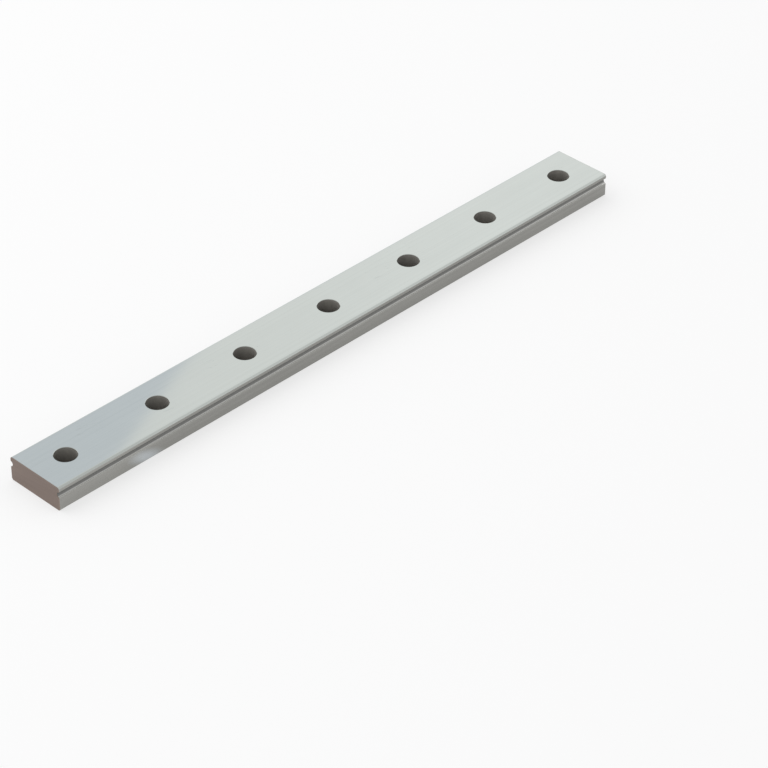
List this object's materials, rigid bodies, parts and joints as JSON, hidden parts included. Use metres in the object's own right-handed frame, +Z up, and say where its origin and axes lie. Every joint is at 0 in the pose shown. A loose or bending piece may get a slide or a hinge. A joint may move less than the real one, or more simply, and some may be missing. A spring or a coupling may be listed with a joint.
{
  "type": "linear guide rail",
  "caption": "Straight ground steel rail for a miniature linear guide, with a ball raceway along each side and a row of counterbored screw holes.",
  "frame": {"origin": "the middle of the mounting face, on the rail's long middle line", "axes": "+X along the rail, +Y across it, +Z up from the mounting face to the top with the counterbores"},
  "size_m": [0.2, 0.018, 0.007],
  "materials": {
    "rail_steel": "ground"
  },
  "bodies": {
    "root": {"guide_rail": "rail_steel"}
  },
  "joints": []
}
